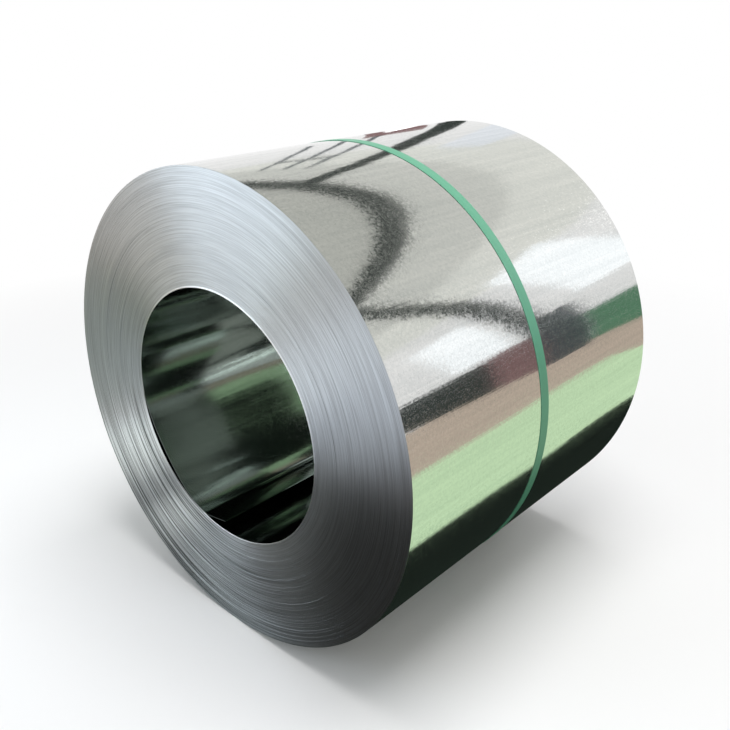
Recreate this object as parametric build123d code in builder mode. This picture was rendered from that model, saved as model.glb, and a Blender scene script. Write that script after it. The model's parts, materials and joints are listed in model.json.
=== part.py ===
"""Steel coil lying on its side: one galvanised strip wound round a mandrel bore, held by one flat strap.

Millimetres and degrees. The bore runs along Y with the front end at -Y, +Z is up, and the origin is
the middle of the bore. Angles are counter-clockwise from +X as the front end is seen.
"""

import os
from math import acos, ceil, cos, degrees, radians, sin

from build123d import *

# Wound strip
bore_diameter = 508.0
outer_diameter = 940.0
strip_width = 780.0
strip_thickness = 1.0

# Side wander of the turns: a group of turns lies flush, and the next group stands a little in or out
group_turns = 18
edge_wander = 1.2
wander_turn = 137.5

# Free ends of the strip: the angle of each cut edge, and the arc over which its lap fades into the turn below
inner_end_angle = -92.0
inner_lap_span = 50.0
outer_end_angle = 200.0
outer_lap_span = 50.0

# Strap round the girth, welded to itself where its ends overlap
strap_width = 25.0
strap_thickness = 1.0
strap_from_middle = 10.0
weld_angle = 150.0
weld_length = 60.0

# Values that follow from the sizes above
full_turn = 360.0
bore_radius = bore_diameter / 2
outer_radius = outer_diameter / 2
group_build = group_turns * strip_thickness
group_count = ceil((outer_radius - bore_radius) / group_build)
inner_edge_radius = bore_radius - strip_thickness
outer_edge_radius = outer_radius + strip_thickness
inner_fade_angle = inner_end_angle - inner_lap_span
outer_fade_angle = outer_end_angle + outer_lap_span
bridge_span = degrees(acos(outer_radius / outer_edge_radius))
weld_span = degrees(weld_length / outer_radius)


def across_bore(angle, from_middle=0):
    """The plane across the bore with its x axis at an angle, some way from the middle to the front end."""
    return Plane.XZ.offset(from_middle).rotated((0, -angle, 0))


def polar(radius, angle):
    """The point at a radius and an angle, in a plane across the bore."""
    return radius * cos(radians(angle)), radius * sin(radians(angle))


def group_shift(group):
    """How far one group of turns has wandered along the bore."""
    return edge_wander * sin(radians(group * wander_turn))


def outer_lap():
    """The last turn, rising off the turn below until its cut edge is one thickness clear."""
    TangentArc((outer_radius, 0), polar(outer_edge_radius, -outer_lap_span), tangent=(0, -1))


def outer_outline():
    """The outside of the winding, with the step at the strip's outer end."""
    CenterArc((0, 0), outer_radius, 0, full_turn - outer_lap_span)
    Line(polar(outer_radius, -outer_lap_span), polar(outer_edge_radius, -outer_lap_span))
    outer_lap()


def bore_outline():
    """The inside of the winding, with the step at the strip's inner end."""
    CenterArc((0, 0), bore_radius, inner_lap_span, full_turn - inner_lap_span)
    Line(polar(bore_radius, inner_lap_span), polar(inner_edge_radius, inner_lap_span))
    TangentArc((bore_radius, 0), polar(inner_edge_radius, inner_lap_span), tangent=(0, 1))


def strap_lay():
    """What the tight strap lies on: the winding, with a straight bridge down from the outer cut edge."""
    lay_span = full_turn - outer_lap_span - bridge_span
    CenterArc((0, 0), outer_radius, 0, lay_span)
    Line(polar(outer_radius, lay_span), polar(outer_edge_radius, -outer_lap_span))
    outer_lap()


def weld_overlap():
    """The strap's upper end, one thickness above the strap that it is welded to."""
    low_radius = outer_radius + strap_thickness / 2
    high_radius = outer_radius + strap_thickness + strap_thickness
    CenterArc((0, 0), low_radius, 0, weld_span)
    Line(polar(low_radius, weld_span), polar(high_radius, weld_span))
    CenterArc((0, 0), high_radius, 0, weld_span)
    Line((high_radius, 0), (low_radius, 0))


# Coil: the groups of turns are turned round the bore, then trimmed to the strip's two free ends
with BuildPart() as coil:
    with BuildSketch(Plane.XY.rotated((0, -outer_fade_angle, 0))) as turns:
        for group in range(-1, group_count + 1):
            with Locations((bore_radius + group * group_build, group_shift(group))):
                Rectangle(group_build, strip_width, align=(Align.MIN, Align.CENTER))
    revolve(axis=Axis.Y)
    with BuildSketch(across_bore(outer_fade_angle)) as outside:
        with BuildLine():
            outer_outline()
        make_face()
    extrude(amount=strip_width, both=True, mode=Mode.INTERSECT)
    with BuildSketch(across_bore(inner_fade_angle)) as inside:
        with BuildLine():
            bore_outline()
        make_face()
    extrude(amount=strip_width, both=True, mode=Mode.SUBTRACT)
coil.part.label = "coil"

# Strap: a flat band pulled tight round the winding, with its two ends welded one on the other
with BuildPart() as strap:
    with BuildSketch(across_bore(outer_fade_angle, strap_from_middle)) as band:
        with BuildLine():
            strap_lay()
        make_face()
        offset(amount=strap_thickness)
        with BuildLine():
            strap_lay()
        make_face(mode=Mode.SUBTRACT)
    extrude(amount=strap_width / 2, both=True)
    with BuildSketch(across_bore(weld_angle, strap_from_middle)) as overlap:
        with BuildLine():
            weld_overlap()
        make_face()
    extrude(amount=strap_width / 2, both=True)
strap.part.label = "strap"

os.makedirs("parts", exist_ok=True)
for piece in (coil, strap):
    export_step(piece.part, f"parts/{piece.part.label}.step")
    box = piece.part.bounding_box()
    print(piece.part.label, "solids", len(piece.part.solids()), "volume", round(piece.part.volume), "size", box.size)
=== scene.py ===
# %% [markdown]
# # A coil of galvanised strip, held by one green strap
#
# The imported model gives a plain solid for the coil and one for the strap, at their real size. This lesson
# dresses them: turns that show on the ends, a strip end that is bent into the bore, bright zinc with fine
# spangle, and a smooth plastic band. Every piece is made in metres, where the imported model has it.

# %% Load the frame
import json
import random
from math import atan2, cos, degrees, hypot, pi, radians, sin

import bmesh
import bpy
from mathutils import Matrix, Vector


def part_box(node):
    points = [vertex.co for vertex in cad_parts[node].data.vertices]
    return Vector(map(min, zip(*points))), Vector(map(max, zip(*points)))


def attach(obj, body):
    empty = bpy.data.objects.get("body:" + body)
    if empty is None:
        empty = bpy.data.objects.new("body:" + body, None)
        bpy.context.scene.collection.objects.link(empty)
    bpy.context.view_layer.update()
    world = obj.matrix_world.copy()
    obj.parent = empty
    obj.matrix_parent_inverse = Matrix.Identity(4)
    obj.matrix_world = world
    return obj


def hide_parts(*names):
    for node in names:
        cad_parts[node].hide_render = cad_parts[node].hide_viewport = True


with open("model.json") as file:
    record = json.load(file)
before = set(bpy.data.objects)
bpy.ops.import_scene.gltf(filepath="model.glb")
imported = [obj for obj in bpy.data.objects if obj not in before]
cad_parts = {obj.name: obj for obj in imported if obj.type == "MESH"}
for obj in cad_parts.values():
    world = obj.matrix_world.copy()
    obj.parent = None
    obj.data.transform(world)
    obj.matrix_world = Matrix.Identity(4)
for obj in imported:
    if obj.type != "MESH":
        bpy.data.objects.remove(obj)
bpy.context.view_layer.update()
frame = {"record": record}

# %% [markdown]
# ## Sizes that the frame gives
#
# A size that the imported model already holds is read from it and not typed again: the bore from its mount,
# the outside from the coil's box, the strap from its own. Only what a box can't say is written here: the
# gauge of the strip, the angle of its outer cut end (the tail), the angle at which its inner end (the lip)
# leaves the wall of the bore, and how far round each lap fades. Angles are in degrees, counter-clockwise from
# +X as the front end is seen.

# %% Read the sizes
bore_mount = next(mount for mount in frame["record"]["mounts"] if mount["name"] == "bore")
bore_radius = bore_mount["dims"]["r_mm"] / 1000
strip_width = bore_mount["dims"]["length_mm"] / 1000
half_width = strip_width / 2
outer_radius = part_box("coil")[1].x
strap_low, strap_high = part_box("strap")
strap_width = strap_high.y - strap_low.y
strap_middle = (strap_high.y + strap_low.y) / 2
floor_height = strap_low.z

full_turn = 360.0
strip_thickness = 0.001
tail_angle, tail_lap = 200.0, 50.0
lip_angle, lip_lap = -108.0, 74.0
print(f"bore {bore_radius:.3f}, outside {outer_radius:.3f}, width {strip_width:.3f} m")
print(f"strap {strap_width:.3f} m wide, floor at {floor_height:.3f} m")

# %% [markdown]
# ## The turns on an end
#
# On a real coil each turn lies a hair in or out of its neighbours, and now and then a few turns stand proud.
# The strip is one width, so what is pushed in on one end stands out on the other. A displacement map would
# only suggest this. Here each land of one to three turns gets a real side shift from a seeded draw, on top
# of a slow wander, and the same list serves both ends.

# %% Draw the lands
draw = random.Random(20)
land_turns = (1, 2, 2, 3)
land_jitter = 0.00006
least_step = 0.00002
wander_group = 18
wander_depth = 0.0002
wander_turn = radians(137.5)
proud_share = 0.06
proud_depth = 0.00018


def draw_lands():
    """A list of (outer radius, side shift), one for each land of turns, from the bore to the outside."""
    lands, turn = [], 0
    turns = round((outer_radius - bore_radius) / strip_thickness)
    while turn < turns:
        count = min(draw.choice(land_turns), turns - turn)
        shift = wander_depth * sin(turn // wander_group * wander_turn) + draw.gauss(0, land_jitter)
        if draw.random() < proud_share:
            shift += draw.choice((-1, 1)) * proud_depth
        if lands and abs(shift - lands[-1][1]) < least_step:
            shift = lands[-1][1] + least_step
        turn += count
        lands.append((bore_radius + turn * strip_thickness, shift))
    return lands


lands = draw_lands()
print("lands:", len(lands))

# %% [markdown]
# ## Section of the coil
#
# A turned piece needs one section and one spin. This section goes up the front end from the bore to the
# outside, along the outer wall, down the back end and home along the bore. Every land gives two corners on
# each end. The four rims get a tiny chamfer, because a slit strip has a rolled-over edge that catches the
# light as one thin bright line. The first turns of all were pressed over by the mandrel, so they stand a
# little proud, as a bead, and fall away to the next ones in a slope. A slit behind the very first turn lets
# it stand off from the rest later. The walls have a few rows, so that shading stays even along them.

# %% Corners of an end and of a wall
rim_chamfer = 0.0004
bead_height, bead_flat, bead_end = 0.0006, 0.0014, 0.0034
slit_width, slit_depth = 0.0001, 0.04
wall_rows = 12
leaf_back = bore_radius + strip_thickness
slit_back = leaf_back + slit_width
first_shift, last_shift = lands[0][1], lands[-1][1]
lands = [(radius, shift) for radius, shift in lands if radius > bore_radius + bead_end]


def end_corners(side):
    """Corners of one end from the bore to the outside, of the front end for side -1 or the back end for 1."""
    flush = side * half_width
    bead = flush + first_shift + side * bead_height
    corners = [(bore_radius + rim_chamfer, bead)]
    for radius, depth in ((leaf_back, 0), (leaf_back, slit_depth), (slit_back, slit_depth), (slit_back, 0)):
        corners.append((radius, bead - side * depth))
    corners.append((bore_radius + bead_flat, bead))
    corners.append((bore_radius + bead_end, flush + lands[0][1]))
    for (radius, shift), (_, next_shift) in zip(lands, lands[1:]):
        corners += [(radius, flush + shift), (radius, flush + next_shift)]
    corners.append((outer_radius - rim_chamfer, flush + last_shift))
    return corners


def wall_corners(radius, start, end):
    """Corners along a wall, in even rows."""
    return [(radius, start + (end - start) * row / wall_rows) for row in range(wall_rows + 1)]


front, back = end_corners(-1), end_corners(1)
print("corners of an end:", len(front))

# %% [markdown]
# The section is drawn the way a hand would draw it: a first vertex, then one extrusion of the last vertex for
# each corner. It stands at angle zero, with the radius along X and the coil's width along Y.


# %% Trace the coil's section
def start_pen(bm, radius, along):
    """The first vertex of a section."""
    return bm.verts.new((radius, along, 0))


def draw_through(bm, pen, corners):
    """Extrudes the last vertex on from corner to corner, each a (radius, along), and returns the last one."""
    for radius, along in corners:
        pen = bmesh.ops.extrude_vert_indiv(bm, verts=[pen])["verts"][0]
        pen.co = (radius, along, 0)
    return pen


coil_mesh = bmesh.new()
home = start_pen(coil_mesh, bore_radius, front[0][1] + rim_chamfer)
outer_wall = wall_corners(outer_radius, front[-1][1] + rim_chamfer, back[-1][1] - rim_chamfer)
bore_wall = wall_corners(bore_radius, back[0][1] - rim_chamfer, home.co.y)[:-1]
pen = draw_through(coil_mesh, home, front + outer_wall + back[::-1] + bore_wall)
coil_mesh.edges.new((pen, home))
print("section corners:", len(coil_mesh.verts))

# %% [markdown]
# ## Spin, with two sharp steps
#
# A plain full spin would have no place for the strip's two cut ends. So the spin starts at the outer end and
# goes round in four stretches, and two of them are only a tenth of a degree long. Across a short stretch the
# wall can drop by one strip thickness, which reads as a cut edge.


# %% Spin helpers
def turn_section(bm, angle):
    """Turns everything drawn so far about the bore's axis."""
    turn = Matrix.Rotation(radians(-angle), 3, "Y")
    bmesh.ops.rotate(bm, cent=(0, 0, 0), matrix=turn, verts=bm.verts[:])


def spin_on(bm, geom, sweep, steps):
    """Spins a section on by some degrees, counter-clockwise from the front, and returns where it ends."""
    turned = bmesh.ops.spin(
        bm, geom=geom, cent=(0, 0, 0), axis=(0, -1, 0), angle=radians(sweep), steps=steps, use_merge=False
    )
    return turned["geom_last"]


def pick(geom, kind):
    """The vertices, edges or faces among mixed geometry."""
    return [item for item in geom if isinstance(item, kind)]


# %% Spin the coil
sliver = 0.1
segment = 1.875
seam_slack = 5e-6
lip_sweep = lip_angle + full_turn - tail_angle
stretches = (lip_sweep, sliver, full_turn - lip_sweep - 2 * sliver, sliver)

turn_section(coil_mesh, tail_angle)
seam = coil_mesh.verts[:]
section = coil_mesh.verts[:] + coil_mesh.edges[:]
for sweep in stretches:
    section = spin_on(coil_mesh, section, sweep, max(1, round(sweep / segment)))
seam += pick(section, bmesh.types.BMVert)
bmesh.ops.remove_doubles(coil_mesh, verts=seam, dist=seam_slack)
bmesh.ops.recalc_face_normals(coil_mesh, faces=coil_mesh.faces[:])
print("spun faces:", len(coil_mesh.faces))

# %% [markdown]
# ## The two laps
#
# The laps rise as the square of the way from their faint end, as a bent strip does when it leaves a round.
# Before its bend the first turn also springs off the turn behind it, and from the front that gap is a dark
# crescent. Only the radius of a vertex changes, so the spun mesh keeps its faces.

# %% Heights of the laps
angle_slack = sliver / 4
spring_depth = 0.012


def lap_height(way):
    """Height of a lap, from its way along the lap: one at the cut edge, zero where it has faded."""
    return strip_thickness * way**2 if 0 <= way <= 1 else 0.0


def tail_way(angle):
    """How far an angle lies along the outer lap, which fades counter-clockwise from the cut edge."""
    past = (angle - tail_angle + angle_slack) % full_turn
    return 1 - max(past - angle_slack, 0) / tail_lap


def lip_way(angle):
    """How far an angle lies along the inner lap, which fades clockwise from where the lip leaves the wall."""
    before = (lip_angle - angle + angle_slack) % full_turn
    return 1 - max(before - angle_slack, 0) / lip_lap


def spring_height(way):
    """How far the loose first turn stands off, from its way along the inner lap."""
    return spring_depth * sin(pi * way) ** 2 if 0 <= way <= 1 else 0.0


print("lap heights at a cut edge and half way:", lap_height(1.0), lap_height(0.5))

# %% Raise the laps
radius_slack = strip_thickness / 100


def polar_place(vert):
    """A vertex's radius and its angle in degrees."""
    return hypot(vert.co.x, vert.co.z), degrees(atan2(vert.co.z, vert.co.x))


def set_radius(vert, radius):
    """Moves a vertex in or out along its own radius."""
    scale = radius / hypot(vert.co.x, vert.co.z)
    vert.co.x *= scale
    vert.co.z *= scale


for vert in coil_mesh.verts:
    radius, angle = polar_place(vert)
    if abs(radius - outer_radius) < radius_slack:
        set_radius(vert, radius + lap_height(tail_way(angle)))
    elif radius < leaf_back + radius_slack:
        way = lip_way(angle)
        set_radius(vert, radius - lap_height(way) - spring_height(way))
radii = [polar_place(vert)[0] for vert in coil_mesh.verts]
print(f"radii with the laps: {min(radii):.4f} to {max(radii):.4f} m")

# %% [markdown]
# ## The lip in the bore
#
# The first end of the strip was held in a mandrel's slot, and it keeps that bend: it leaves the wall of the
# bore and runs on straight, inwards. The cut face of the inner lap is already there, one strip thick and as
# wide as the coil. It is extruded in short steps, each turned a little, and then once more in a long straight
# step, so that the lip is the same mesh as the wall that it grows from.


# %% Lip helpers
def is_lip_root(face):
    """Is this the cut face of the inner lap?"""
    places = [polar_place(vert) for vert in face.verts]
    near = [abs(angle - lip_angle) < sliver + angle_slack for _, angle in places]
    return all(near) and max(radius for radius, _ in places) < bore_radius + radius_slack


def grow(bm, faces, heading, length, turn):
    """Extrudes faces along a heading, turns them about their own middle, and returns the new end faces."""
    edges = {edge for face in faces for edge in face.edges}
    grown = bmesh.ops.extrude_face_region(bm, geom=faces + list(edges))["geom"]
    verts = pick(grown, bmesh.types.BMVert)
    bmesh.ops.translate(bm, vec=Vector((cos(heading), 0, sin(heading))) * length, verts=verts)
    middle = sum((vert.co for vert in verts), Vector()) / len(verts)
    bmesh.ops.rotate(bm, cent=middle, matrix=Matrix.Rotation(-turn, 3, "Y"), verts=verts)
    return pick(grown, bmesh.types.BMFace)


def open_edges(bm):
    """How many edges don't join exactly two faces. A closed piece has none."""
    return sum(len(edge.link_faces) != 2 for edge in bm.edges)


# %% Extrude the lip
bend_steps, bend_step, bend_angle = 6, 0.0025, radians(27.4)
straight_length = 0.056

heading = radians(lip_angle + 90)
lip_end = [face for face in coil_mesh.faces if is_lip_root(face)]
print("lip root faces:", len(lip_end))
for step in range(bend_steps):
    turn = bend_angle / bend_steps
    heading += turn
    lip_end = grow(coil_mesh, lip_end, heading, bend_step, turn)
lip_end = grow(coil_mesh, lip_end, heading, straight_length, 0)
edge_place = [polar_place(vert) for face in lip_end for vert in face.verts]
print("lip edge: radius", min(r for r, _ in edge_place), "angle", max(a for _, a in edge_place))
triangles = sum(len(face.verts) - 2 for face in coil_mesh.faces)
print("open or crowded edges:", open_edges(coil_mesh), "triangles:", triangles)

# %% [markdown]
# ## Node helpers
#
# Materials are built in code, so a few helpers keep them readable. Every helper takes plain values or the
# outputs of other nodes, links or sets them, and hands on its own output, so that a finish reads as a list of
# steps. A value that is the same all over stays on the shader's own socket.


# %% Nodes and sockets
def feed(value, node, socket):
    """Gives a socket its value: another node's output is linked, and anything else is set."""
    target = node.inputs[socket]
    if isinstance(value, bpy.types.NodeSocket):
        node.id_data.links.new(value, target)
    else:
        target.default_value = value


def set_sockets(node, **sockets):
    """Feeds several named sockets of a node."""
    for key, value in sockets.items():
        feed(value, node, key.replace("_", " "))


def add_node(tree, kind, settings=None, **sockets):
    """A node of a kind, with its settings and the values of its sockets."""
    node = tree.nodes.new(kind)
    for key, value in (settings or {}).items():
        setattr(node, key, value)
    set_sockets(node, **sockets)
    return node


# %% Sums and ranges
def scalar_math(tree, operation, *values, clamp=False):
    """The result of a Math node."""
    node = add_node(tree, "ShaderNodeMath", {"operation": operation, "use_clamp": clamp})
    for index, value in enumerate(values):
        feed(value, node, index)
    return node.outputs["Value"]


def vector_math(tree, operation, *values):
    """The result of a Vector Math node, which is a number for a length or a dot product."""
    node = add_node(tree, "ShaderNodeVectorMath", {"operation": operation})
    for index, value in enumerate(values):
        feed(value, node, index)
    return node.outputs["Value" if operation in ("LENGTH", "DOT_PRODUCT") else "Vector"]


def remap(tree, value, low, high, to=(0.0, 1.0)):
    """A value brought from one range to another, and held there."""
    sockets = {"Value": value, "From_Min": low, "From_Max": high, "To_Min": to[0], "To_Max": to[1]}
    return add_node(tree, "ShaderNodeMapRange", **sockets).outputs["Result"]


# %% [markdown]
# ## Two shared effects
#
# Streaks are soft lines that run one way: they are noise that is stretched by scaling its coordinates. The
# strip has them across its turns, and the strap along its length. Marks are sparse faint scuffs from
# handling. Both are groups, because more than one finish uses them with its own values.

# %% Shared groups
VECTOR, FLOAT = "NodeSocketVector", "NodeSocketFloat"


def new_group(name, inputs, output):
    """A shader group with one value to put out: its tree, what it is given, and its output node."""
    tree = bpy.data.node_groups.new(name, "ShaderNodeTree")
    for socket, kind in inputs.items():
        tree.interface.new_socket(socket, in_out="INPUT", socket_type=kind)
    tree.interface.new_socket(output, in_out="OUTPUT", socket_type=FLOAT)
    return tree, tree.nodes.new("NodeGroupInput").outputs, tree.nodes.new("NodeGroupOutput")


streaks, given, result = new_group("streaks", {"Vector": VECTOR, "Stretch": VECTOR, "Detail": FLOAT}, "Value")
stretched = vector_math(streaks, "MULTIPLY", given["Vector"], given["Stretch"])
noise = add_node(streaks, "ShaderNodeTexNoise", Vector=stretched, Scale=1.0, Roughness=0.55)
feed(given["Detail"], noise, "Detail")
feed(noise.outputs["Fac"], result, "Value")

marks, given, result = new_group("marks", {"Vector": VECTOR, "Scale": FLOAT, "Amount": FLOAT}, "Mask")
noise = add_node(marks, "ShaderNodeTexNoise", Vector=given["Vector"], Detail=6.0, Roughness=0.7)
feed(given["Scale"], noise, "Scale")
faint = remap(marks, noise.outputs["Fac"], 0.56, 0.74)
feed(scalar_math(marks, "MULTIPLY", faint, given["Amount"]), result, "Mask")
print("groups:", [group.name for group in bpy.data.node_groups])

# %% [markdown]
# ## Bright zinc
#
# Hot-dip zinc freezes in crystals a few millimetres wide, the spangle. They are all the same metal, but each
# lies at a slightly other tilt, so they show most where a dark reflection meets a bright one. Cells from a
# Voronoi texture are the crystals. Each has a random colour, and that colour is read as a slope: multiplied
# with the way from the cell's own centre it gives a tilted facet, which a Bump node turns into a normal.


# %% Zinc crystals
def new_material(name):
    """A material, its node tree and its Principled shader."""
    material = bpy.data.materials.new(name)
    material.use_nodes = True
    return material, material.node_tree, material.node_tree.nodes["Principled BSDF"]


def object_place(tree):
    """The place on the piece, in metres."""
    return add_node(tree, "ShaderNodeTexCoord").outputs["Object"]


def bump(tree, Strength=1.0, **sockets):
    """The normal over a height, on top of another normal if one is given."""
    return add_node(tree, "ShaderNodeBump", Strength=Strength, **sockets).outputs["Normal"]


zinc, tree, shader = new_material("bright_zinc")
place = object_place(tree)
crystals = add_node(tree, "ShaderNodeTexVoronoi", Vector=place, Scale=270.0).outputs
from_centre = vector_math(tree, "SUBTRACT", place, crystals["Position"])
slope = vector_math(tree, "SUBTRACT", crystals["Color"], (0.5, 0.5, 0.5))
facet = vector_math(tree, "DOT_PRODUCT", from_centre, slope)
tilted = bump(tree, Height=facet, Distance=0.008)
tones = add_node(tree, "ShaderNodeSeparateColor", Color=crystals["Color"]).outputs
print("crystal nodes:", len(tree.nodes))

# %% [markdown]
# The coat was also flattened by rolls and bent round the coil, which leaves faint lines and slow waves across
# the strip. They lie over the facets as further bumps. Handling has dulled the gloss a little here and there.


# %% Zinc lines and gloss
def use_group(tree, group, **sockets):
    """The value that a group puts out in a material, with the material's own values."""
    return add_node(tree, "ShaderNodeGroup", {"node_tree": group}, **sockets).outputs[0]


fine_lines = use_group(tree, streaks, Vector=place, Stretch=(90.0, 1.5, 90.0), Detail=3.0)
slow_waves = use_group(tree, streaks, Vector=place, Stretch=(9.0, 2.5, 9.0), Detail=1.0)
scuffs = use_group(tree, marks, Vector=place, Scale=14.0, Amount=1.0)
rippled = bump(tree, Height=fine_lines, Distance=0.00009, Normal=tilted)
waved = bump(tree, Height=slow_waves, Distance=0.0012, Normal=rippled)
gloss = remap(tree, tones["Green"], 0.0, 1.0, to=(0.06, 0.10))
scuff_dulling = 0.04
dulled = scalar_math(tree, "MULTIPLY_ADD", scuffs, scuff_dulling, gloss)
set_sockets(shader, Normal=waved, Roughness=dulled, Metallic=1.0)
print("zinc nodes:", len(tree.nodes))

# %% [markdown]
# The face in the bore is painted darker than the wrap, as painted shade for the dim reflections deep in the
# bore.
# Distance from the axis tells the two faces apart, because the whole thickness of the coil lies between them.

# %% Zinc on the wrap and in the bore
MIX_FIRST, MIX_SECOND, MIX_RESULT = 6, 7, 2


def blend_colours(tree, factor, first, second):
    """A colour between two, by a value. Each is a plain colour or another blend."""
    node = add_node(tree, "ShaderNodeMix", {"data_type": "RGBA"}, Factor=factor)
    for socket, colour in ((MIX_FIRST, first), (MIX_SECOND, second)):
        feed((*colour, 1) if isinstance(colour, tuple) else colour, node, socket)
    return node.outputs[MIX_RESULT]


def from_axis(tree, place):
    """The way out to a place from the bore's axis, and the distance."""
    outward = vector_math(tree, "MULTIPLY", place, (1, 0, 1))
    return outward, vector_math(tree, "LENGTH", outward)


wrap_greys = (0.635, 0.645, 0.635), (0.735, 0.735, 0.72)
# painted shade: the bore's greys are darker than the wrap's, for the dim reflections deep in the bore
bore_shade_greys = (0.41, 0.45, 0.43), (0.50, 0.54, 0.52)
line_share, speckle_share = 0.75, 0.25
wall_margin = 0.01
speckle = scalar_math(tree, "MULTIPLY", tones["Red"], speckle_share)
lined = scalar_math(tree, "MULTIPLY_ADD", fine_lines, line_share, speckle)
tone = remap(tree, lined, 0.30, 0.70)
wrap_colour = blend_colours(tree, tone, *wrap_greys)
# painted shade: the bore's face takes the darker greys
bore_shade_colour = blend_colours(tree, tone, *bore_shade_greys)
_, distance = from_axis(tree, place)
on_wrap = remap(tree, distance, bore_radius + wall_margin, outer_radius - wall_margin)
set_sockets(shader, Base_Color=blend_colours(tree, on_wrap, bore_shade_colour, wrap_colour))
print("zinc nodes with colour:", len(tree.nodes))

# %% [markdown]
# ## Cut strip edges
#
# The ends are hundreds of sheared edges side by side. Each is bare steel with a smeared zinc lip, duller than
# the face of the strip, and no two neighbours have quite the same tone. The lines follow the turns, so the
# noise reads the distance from the axis and, much more slowly, the way round.

# %% Lines along the turns
edge_greys = (0.47, 0.49, 0.515), (0.68, 0.71, 0.745)
half_share = 0.5
cut_edges, tree, shader = new_material("cut_strip_edges")
outward, distance = from_axis(tree, object_place(tree))
way = vector_math(tree, "NORMALIZE", outward)
way_parts = add_node(tree, "ShaderNodeSeparateXYZ", Vector=way).outputs
ring = add_node(tree, "ShaderNodeCombineXYZ", X=distance, Y=way_parts["X"], Z=way_parts["Z"])
ring_place = ring.outputs["Vector"]
broad = use_group(tree, streaks, Vector=ring_place, Stretch=(430.0, 1.2, 1.2), Detail=2.0)
fine = use_group(tree, streaks, Vector=ring_place, Stretch=(1000.0, 4.0, 4.0), Detail=2.0)
half_fine = scalar_math(tree, "MULTIPLY", fine, half_share)
both = scalar_math(tree, "MULTIPLY_ADD", broad, half_share, half_fine)
colour = blend_colours(tree, remap(tree, both, 0.40, 0.60), *edge_greys)
print("line nodes:", len(tree.nodes))

# %% [markdown]
# Low on the left the edges get a painted highlight, with painted shade as dark lines between the turns.
# The bead round the bore gets a painted highlight, and the sprung first turn inside it is painted shade.

# %% Painted highlight and shade: low left, bead and sprung turn
low_left = (-0.57, 0, -0.82)
# colours of the painted highlight and the painted shade between turns, low on the left
painted_highlight, painted_gap_shade = (0.90, 0.93, 0.93), (0.07, 0.08, 0.08)
# colours of the painted rim highlight and of the painted shade on the sprung turn
painted_rim_highlight, painted_sprung_shade = (0.93, 0.95, 0.97), (0.16, 0.18, 0.175)
highlight_share, gap_shade_share = 0.5, 0.95
bright_radius, plain_radius = bore_radius + 0.0022, bore_radius + 0.0036
# radii over which the painted shade on the sprung turn fades out
full_shade_radius, no_shade_radius = bore_radius - 0.0012, bore_radius - 0.0004

# where on each end the painted highlight and painted shade lie: low on the left
painted_light_side = remap(tree, vector_math(tree, "DOT_PRODUCT", way, low_left), 0.35, 0.90)
# painted highlight: the edges low on the left are painted brighter
colour = blend_colours(tree, scalar_math(tree, "MULTIPLY", painted_light_side, highlight_share), colour, painted_highlight)
# painted shade: dark lines between the turns, low on the left
gap_shade_lines = use_group(tree, streaks, Vector=ring_place, Stretch=(620.0, 0.9, 0.9), Detail=0.0)
gap_shade_mask = remap(tree, gap_shade_lines, 0.38, 0.52, to=(gap_shade_share, 0.0))
colour = blend_colours(tree, scalar_math(tree, "MULTIPLY", gap_shade_mask, painted_light_side), colour, painted_gap_shade)
# painted highlight: a bright ring on the bead round the bore
on_bead = remap(tree, distance, bright_radius, plain_radius, to=(1.0, 0.0))
colour = blend_colours(tree, on_bead, colour, painted_rim_highlight)
# painted shade: the sprung first turn's end is painted dark, as shade in the gap behind it
on_sprung = remap(tree, distance, full_shade_radius, no_shade_radius, to=(1.0, 0.0))
colour = blend_colours(tree, on_sprung, colour, painted_sprung_shade)
print("cut edge nodes:", len(tree.nodes))

# %% [markdown]
# The fine lines spread a light along the radius, as on a turned disc. To model every burr would take far too
# many faces. An anisotropic shader does it, with its tangent along the radius.

# %% Gloss of the cut edges
gloss = remap(tree, both, 0.38, 0.62, to=(0.41, 0.33))
burrs = bump(tree, Height=both, Distance=0.00011)
set_sockets(shader, Base_Color=colour, Roughness=gloss, Normal=burrs, Tangent=outward)
set_sockets(shader, Metallic=1.0, Anisotropic=0.9)
print("cut edge links:", len(tree.links))

# %% [markdown]
# ## From bmesh to piece
#
# One helper makes every piece: it writes the mesh, smooths it, keeps its sharper edges sharp, gives the
# materials, sets the piece on its body and hides the imported node that it stands for. On the coil, a face
# whose middle lies within a few millimetres of an end is a cut edge. The rest is strip face, because the rows
# of the walls are much longer than that.

# %% Make the coil
sharp_angle = radians(30)
end_reach = 0.004


def make_piece(name, bm, materials, node):
    """A finished piece of the object, at the origin, with its place in its mesh."""
    mesh = bpy.data.meshes.new(name)
    bm.to_mesh(mesh)
    bm.free()
    mesh.shade_smooth()
    mesh.set_sharp_from_angle(angle=sharp_angle)
    for material in materials:
        mesh.materials.append(material)
    piece = bpy.data.objects.new(name, mesh)
    bpy.context.scene.collection.objects.link(piece)
    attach(piece, "root")
    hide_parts(node)
    print(name, "faces", len(mesh.polygons))


for face in coil_mesh.faces:
    on_end = abs(face.calc_center_median().y) > half_width - end_reach
    face.material_index = 1 if on_end else 0
make_piece("coil_winding", coil_mesh, [zinc, cut_edges], "coil")

# %% [markdown]
# ## The strap
#
# A strap is a flat band with rounded edges. It is pulled round once, goes up over its own first end and is
# welded there, out of sight. So its section is spun just past a full turn, and over the last stretch before
# the overlap each short spin is followed by a small step outwards. Where the strap crosses the outer end of
# the strip it follows the lap, and bridges from the cut edge back to the round.

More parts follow.
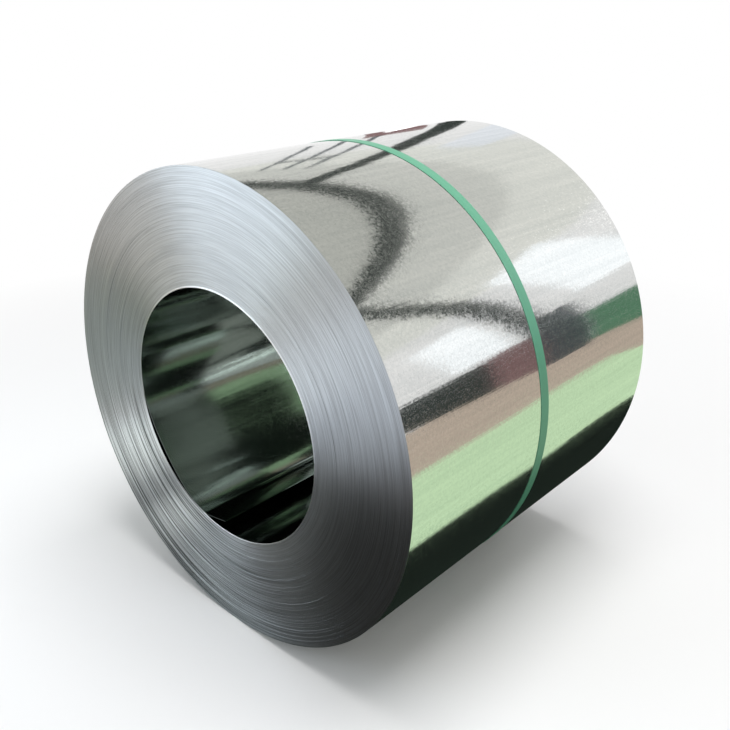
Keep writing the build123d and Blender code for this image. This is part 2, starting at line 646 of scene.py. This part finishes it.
# %% Trace the strap's section
strap_thickness = 0.001
strap_edge = 0.0004
strap_crown = 0.00012
half_strap = strap_width / 2
underside, topside = outer_radius, outer_radius + strap_thickness
outline = (
    (underside + strap_edge, -half_strap),
    (topside - strap_edge, -half_strap),
    (topside - strap_crown, strap_edge - half_strap),
    (topside, -half_strap / 2),
    (topside, half_strap / 2),
    (topside - strap_crown, half_strap - strap_edge),
    (topside - strap_edge, half_strap),
    (underside + strap_edge, half_strap),
    (underside, half_strap - strap_edge),
)
strap_mesh = bmesh.new()
home = start_pen(strap_mesh, underside, strap_middle - half_strap + strap_edge)
pen = draw_through(strap_mesh, home, [(radius, strap_middle + across) for radius, across in outline])
strap_mesh.edges.new((pen, home))
print("strap section corners:", len(strap_mesh.verts))

# %% Spin the strap
weld_angle, weld_span, weld_steps = 150.0, 7.3, 4
climb_span, climb_steps = 4.0, 8
round_steps = 190

turn_section(strap_mesh, weld_angle - weld_span / 2)
section = strap_mesh.verts[:] + strap_mesh.edges[:]
first_end = pick(section, bmesh.types.BMEdge)
section = spin_on(strap_mesh, section, full_turn - climb_span, round_steps)
for step in range(climb_steps):
    section = spin_on(strap_mesh, section, climb_span / climb_steps, 1)
    for vert in pick(section, bmesh.types.BMVert):
        set_radius(vert, polar_place(vert)[0] + strap_thickness / climb_steps)
section = spin_on(strap_mesh, section, weld_span, weld_steps)
last_end = pick(section, bmesh.types.BMEdge)
for end_loop in (first_end, last_end):
    bmesh.ops.contextual_create(strap_mesh, geom=end_loop)
bmesh.ops.recalc_face_normals(strap_mesh, faces=strap_mesh.faces[:])
print("strap faces:", len(strap_mesh.faces), "open edges:", open_edges(strap_mesh))

# %% Lay the strap over the strip's outer end
bridge_span = 4.0
for vert in strap_mesh.verts:
    radius, angle = polar_place(vert)
    before = (tail_angle - angle) % full_turn
    bridge = strip_thickness * max(0.0, 1 - before / bridge_span)
    set_radius(vert, radius + max(bridge, lap_height(tail_way(angle))))
print(f"strap reaches radius {max(polar_place(vert)[0] for vert in strap_mesh.verts):.4f} m")

# %% [markdown]
# ## Smooth green band
#
# Drawn polyester has a clean satin face with very faint lines along its length, from the die. The lines run
# round the coil, so across the band they vary quickly and along it hardly at all.

# %% Strap finish
strap_greens = (0.080, 0.315, 0.190), (0.135, 0.425, 0.275)
scuff_dulling = 0.2
band, tree, shader = new_material("green_polyester")
place = object_place(tree)
lines = use_group(tree, streaks, Vector=place, Stretch=(2.0, 360.0, 2.0), Detail=2.0)
scuffs = use_group(tree, marks, Vector=place, Scale=40.0, Amount=0.5)
satin = remap(tree, lines, 0.3, 0.7, to=(0.30, 0.40))
gloss = scalar_math(tree, "MULTIPLY_ADD", scuffs, scuff_dulling, satin)
ribs = bump(tree, Height=lines, Distance=0.0001, Strength=0.3)
set_sockets(shader, Base_Color=blend_colours(tree, lines, *strap_greens), Roughness=gloss, Normal=ribs)
make_piece("girth_strap", strap_mesh, [band], "strap")

# %% [markdown]
# ## Stage: reflection cards
#
# Bright metal has no look of its own: it shows what stands round it. A metal photographer builds that with
# cards, so the stage has a pale overhead card, a few dark flags and coloured cards on the floor. They face
# only reflections. The camera and the floor don't see them, and the background stays white.


# %% Planes that only reflections see
def glow(name, colour):
    """A plain light-giving material for a card."""
    material = bpy.data.materials.new(name)
    material.use_nodes = True
    tree = material.node_tree
    tree.nodes.clear()
    lamp = add_node(tree, "ShaderNodeEmission", Color=(*colour, 1), Strength=1.0)
    add_node(tree, "ShaderNodeOutputMaterial", Surface=lamp.outputs["Emission"])
    return material


def stage_plane(name, width, height, matrix, material):
    """A flat stage object."""
    bm = bmesh.new()
    bmesh.ops.create_grid(bm, x_segments=1, y_segments=1, size=0.5)
    bmesh.ops.scale(bm, vec=(width, height, 1), verts=bm.verts[:])
    bmesh.ops.transform(bm, matrix=matrix, verts=bm.verts[:])
    mesh = bpy.data.meshes.new(name)
    bm.to_mesh(mesh)
    bm.free()
    mesh.materials.append(material)
    plane = bpy.data.objects.new(name, mesh)
    bpy.context.scene.collection.objects.link(plane)
    return plane


def reflect_only(plane):
    """Lets only reflections see a stage object."""
    plane.visible_camera = False
    plane.visible_diffuse = False
    plane.visible_shadow = False
    plane.visible_volume_scatter = False


# %% Overhead cards
overhead_height, overhead_reach = 4.0, 8
overheads = (
    ("near_overhead", 0, 3.6, (0.58, 0.59, 0.55)),
    ("middle_overhead", 3.6, 5.4, (0.74, 0.75, 0.71)),
    ("far_overhead", 5.4, 7.5, (0.92, 0.93, 0.88)),
)


def lying_card(name, left, right, near, far, height, colour):
    """A level card, over the coil or on the floor."""
    matrix = Matrix.Translation(((left + right) / 2, (near + far) / 2, height))
    reflect_only(stage_plane(name, right - left, abs(far - near), matrix, glow(name, colour)))


for end, side in (("back", 1), ("front", -1)):
    for name, near, far, colour in overheads:
        span = (-overhead_reach, overhead_reach, near * side, far * side)
        lying_card(f"{name}_{end}", *span, overhead_height, colour)
print("overhead cards:", 2 * len(overheads))

# %% Upright cards
black, slate, dusk = (0.05, 0.06, 0.055), (0.11, 0.13, 0.14), (0.26, 0.16, 0.16)
cool, pine = (0.075, 0.09, 0.095), (0.12, 0.26, 0.16)
bright, soft_bright = (1.36, 1.41, 1.45), (0.95, 0.99, 1.05)
wall, behind_wall = 3.5, 3.8
upright_cards = (
    ("bar_flag", -5.0, 5.0, 3.60, 3.96, wall, black),
    ("left_flag", -2.56, -2.29, 0.3, 3.8, wall, black),
    ("right_flag", 2.77, 3.05, 0.4, 3.8, wall, black),
    ("left_bright_card", -2.1, -1.5, 1.0, 2.4, behind_wall, soft_bright),
    ("right_bright_card", 1.8, 2.6, 0.9, 2.3, behind_wall, bright),
    ("side_bright_card", 3.4, 4.1, 0.55, 1.85, behind_wall, bright),
    ("thin_flag_385", -3.89, -3.81, 0.9, 2.9, wall, slate),
    ("thin_flag_345", -3.49, -3.41, 0.9, 2.9, wall, slate),
    ("thin_flag_310", -3.14, -3.06, 0.9, 2.9, wall, slate),
    ("cross_flag", -3.85, -3.1, 2.3, 2.4, wall, slate),
    ("left_warm_card", -3.25, -2.65, 0.06, 0.95, wall, dusk),
    ("cool_card", 2.56, 3.01, -0.44, 0.80, wall, cool),
    ("pine_card", 1.85, 2.55, -0.36, 0.36, wall, pine),
    ("warm_card", 3.0, 3.5, -0.42, 0.47, wall, dusk),
    ("low_flag", 3.5, 5.2, -0.42, 0.45, wall, black),
)


def upright_card(name, left, right, low, high, away, colour):
    """An upright card behind the back end, and its twin before the front end, turned half round."""
    material = glow(name, colour)
    middle = Matrix.Translation(((left + right) / 2, away, (low + high) / 2))
    for side, half_turn in (("back", 0), ("front", pi)):
        matrix = Matrix.Rotation(half_turn, 4, "Z") @ middle @ Matrix.Rotation(pi / 2, 4, "X")
        reflect_only(stage_plane(f"{name}_{side}", right - left, high - low, matrix, material))


for card in upright_cards:
    upright_card(*card)
print("upright cards:", 2 * len(upright_cards))

# %% Floor cards
layer_step = 0.0002
floor_cards = (
    ("warm_floor_card", -4.6, 4.6, -4.6, 4.6, 2, (0.60, 0.50, 0.41)),
    ("green_floor_card", -1.45, 1.45, -0.4, 2.0, 4, (0.68, 0.92, 0.59)),
    ("dark_floor_card", -0.63, 0.63, -0.6, 1.05, 6, (0.012, 0.018, 0.014)),
    ("brown_front_card", -1.0, 2.4, -3.5, -0.42, 3, (0.15, 0.135, 0.125)),
    ("bright_front_card", -1.35, 0.05, -3.5, -1.15, 5, (0.92, 1.0, 1.09)),
    ("olive_front_card", -3.5, -1.05, -1.58, -0.42, 8, (0.19, 0.215, 0.12)),
    ("dark_front_card", -0.62, 1.6, -1.12, -0.42, 8, (0.022, 0.022, 0.02)),
    ("left_gleam_card", -0.92, -0.66, -1.0, -0.76, 10, (3.4, 3.6, 3.4)),
    ("low_gleam_card", -0.50, -0.38, -0.73, -0.60, 10, (2.6, 2.7, 2.6)),
)
for name, left, right, near, far, layer, colour in floor_cards:
    lying_card(name, left, right, near, far, floor_height + layer * layer_step, colour)
print("floor cards:", len(floor_cards))

# %% [markdown]
# Small cards stand behind the eye of the coil. Two darken what its bore mirrors, and two bright strips give
# it white streaks. They are too near the axis, or too far round it, for the wrap to mirror them.

# %% Cards behind the eye
dark_eye, white_eye, clear_eye = (0.035, 0.042, 0.038), (2.4, 2.5, 2.45), (3.3, 3.4, 3.4)
eye_cards = (
    ("high_eye_flag", (0.01, 0.80, 0.38), 0.82, 0.20, 0, dark_eye),
    ("low_eye_flag", (0.425, 0.80, -0.02), 0.35, 0.36, 0, dark_eye),
    ("middle_eye_gleam", (-0.59, 0.79, 0.18), 0.62, 0.10, 0, white_eye),
    ("upper_eye_gleam", (-0.49, 0.79, 0.37), 0.34, 0.035, -31, clear_eye),
)
for name, middle, width, height, tilt, colour in eye_cards:
    upright = Matrix.Rotation(radians(-tilt), 4, "Y") @ Matrix.Rotation(pi / 2, 4, "X")
    matrix = Matrix.Translation(middle) @ upright
    reflect_only(stage_plane(name, width, height, matrix, glow(name, colour)))
print("eye cards:", len(eye_cards))

# %% [markdown]
# ## Floor and light
#
# The floor is pale and takes the soft shadow near the coil. Further out it turns into plain white, so that
# no horizon shows. That white is only for the eye and for reflections, so that it lights nothing. To the dull
# strap the floor is dark, so that it throws little light back. The world is white to the eye too, and a
# gentler fill to everything else.

# %% Floor
floor_size = 60
white_from, white_to = 1.1, 2.6
pale, dark = (0.86, 0.86, 0.86), (0.25, 0.25, 0.25)


def seen_by_eye(tree, path):
    """One for the camera, straight, by a reflection or through glass, and zero for all other light."""
    eye = scalar_math(tree, "ADD", path["Is Camera Ray"], path["Is Glossy Ray"])
    return scalar_math(tree, "ADD", eye, path["Is Transmission Ray"], clamp=True)


floor_material, tree, shader = new_material("pale_floor")
path = add_node(tree, "ShaderNodeLightPath").outputs
ground = blend_colours(tree, path["Is Diffuse Ray"], pale, dark)
set_sockets(shader, Base_Color=ground, Roughness=0.9, Specular_IOR_Level=0.0)
white = add_node(tree, "ShaderNodeEmission", Strength=1.0)
far_out = remap(tree, vector_math(tree, "LENGTH", object_place(tree)), white_from, white_to)
fade = scalar_math(tree, "MULTIPLY", far_out, seen_by_eye(tree, path))
mixed = add_node(tree, "ShaderNodeMixShader")
for index, value in enumerate((fade, shader.outputs["BSDF"], white.outputs["Emission"])):
    feed(value, mixed, index)
set_sockets(tree.nodes["Material Output"], Surface=mixed.outputs["Shader"])
stage_plane("floor", floor_size, floor_size, Matrix.Translation((0, 0, floor_height)), floor_material)
print("floor nodes:", len(tree.nodes))

# %% World
fill_light = 0.52
world = bpy.data.worlds.new("white_room")
bpy.context.scene.world = world
world.use_nodes = True
tree = world.node_tree
path = add_node(tree, "ShaderNodeLightPath").outputs
level = remap(tree, seen_by_eye(tree, path), 0.0, 1.0, to=(fill_light, 1.0))
set_sockets(tree.nodes["Background"], Color=(1, 1, 1, 1), Strength=level)
print("world nodes:", len(tree.nodes))

# %% Lamps
neutral, cool_light = (1.0, 1.0, 1.0), (0.80, 0.91, 1.0)


def soft_lamp(name, place, width, height, power, colour):
    """A wide soft lamp that looks at the middle of the coil."""
    data = bpy.data.lights.new(name, "AREA")
    data.shape = "RECTANGLE"
    data.size, data.size_y = width, height
    data.energy = power
    data.color = colour
    lamp = bpy.data.objects.new(name, data)
    lamp.location = place
    lamp.rotation_euler = (-Vector(place)).to_track_quat("-Z", "Y").to_euler()
    bpy.context.scene.collection.objects.link(lamp)
    return lamp


soft_lamp("key_lamp", (-2.2, -2.7, 0.9), 2.4, 1.3, 34, cool_light)
soft_lamp("back_lamp", (0.2, 4.0, 1.3), 2.2, 1.0, 22, neutral)
top_lamp = soft_lamp("top_lamp", (0.7, -0.2, 3.6), 2.2, 2.2, 110, neutral)
top_lamp.visible_glossy = False
print("lamps:", [light.name for light in bpy.data.lights])

# %% [markdown]
# ## Camera
#
# The view is from the front and the right, a little above, close enough that the far end looks smaller. How
# far the camera stands and where it aims are shares of the coil's outer radius.

# %% Camera
azimuth, elevation = radians(42.45), radians(23.60)
reach_share = 3.878
aim_shares = (0.030, 0, -0.021)
sensor_width, lens = 36.0, 40.92

aim = Vector(aim_shares) * outer_radius
toward = Vector((sin(azimuth) * cos(elevation), -cos(azimuth) * cos(elevation), sin(elevation)))
camera_data = bpy.data.cameras.new("camera")
camera_data.sensor_width = sensor_width
camera_data.lens = lens
camera = bpy.data.objects.new("camera", camera_data)
camera.location = aim + toward * (reach_share * outer_radius)
camera.rotation_euler = (-toward).to_track_quat("-Z", "Y").to_euler()
bpy.context.scene.collection.objects.link(camera)
bpy.context.scene.camera = camera
bpy.context.scene.view_settings.view_transform = "Standard"
print("camera at", tuple(round(value, 3) for value in camera.location))
